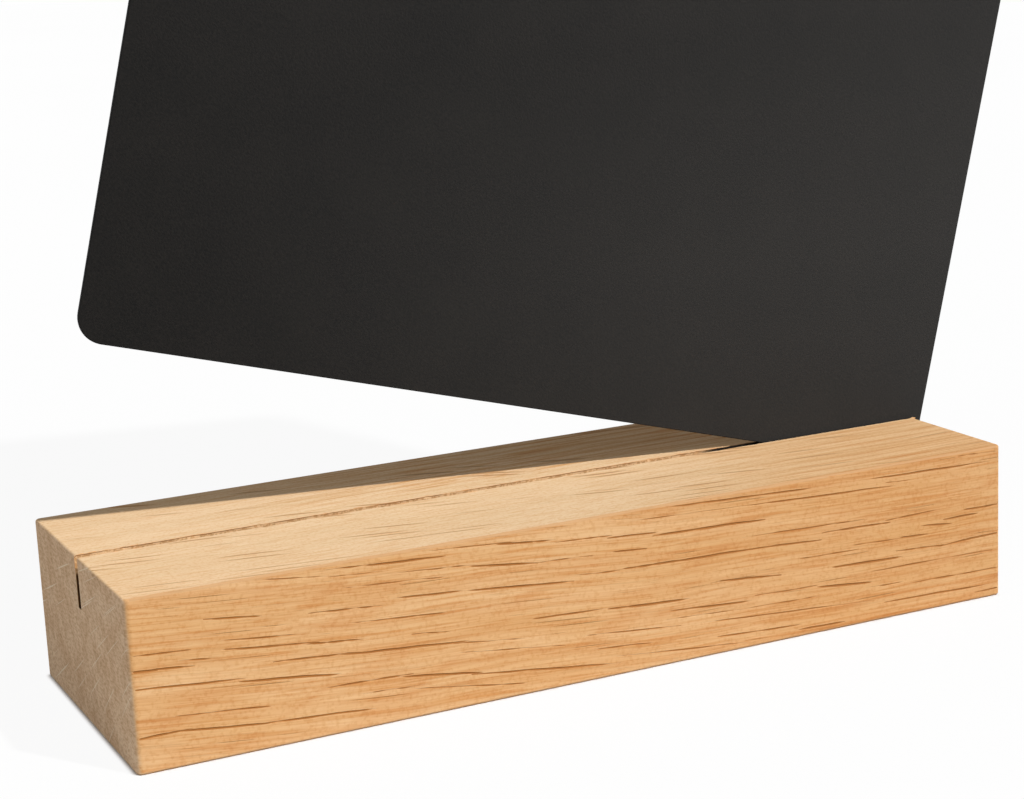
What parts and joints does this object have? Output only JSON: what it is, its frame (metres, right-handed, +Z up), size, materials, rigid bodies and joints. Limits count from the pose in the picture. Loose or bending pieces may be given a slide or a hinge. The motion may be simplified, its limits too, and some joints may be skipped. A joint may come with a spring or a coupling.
{
  "type": "table sign holder",
  "caption": "Solid oak block foot with a saw slot along its top, holding a thin matt black sign panel that stands tilted on one rounded corner.",
  "frame": {"origin": "middle of the foot's underside, on the table", "axes": "+Z up, +X along the foot towards the end where the panel stands on its corner, -Y to the front"},
  "size_m": [0.2008, 0.049, 0.2578],
  "materials": {
    "oiled_oak": "satin",
    "matt_black": "matte"
  },
  "bodies": {
    "foot": {"oak_foot": "oiled_oak"},
    "panel": {"sign_panel": "matt_black"}
  },
  "joints": [
    {"name": "panel_tilt", "type": "hinge", "parent": "foot", "child": "panel", "pos_m": [0.0698, 0, 0.02191], "axis": [0, 0.999, -0.0454], "range_deg": [-15.5, 14.5]}
  ]
}
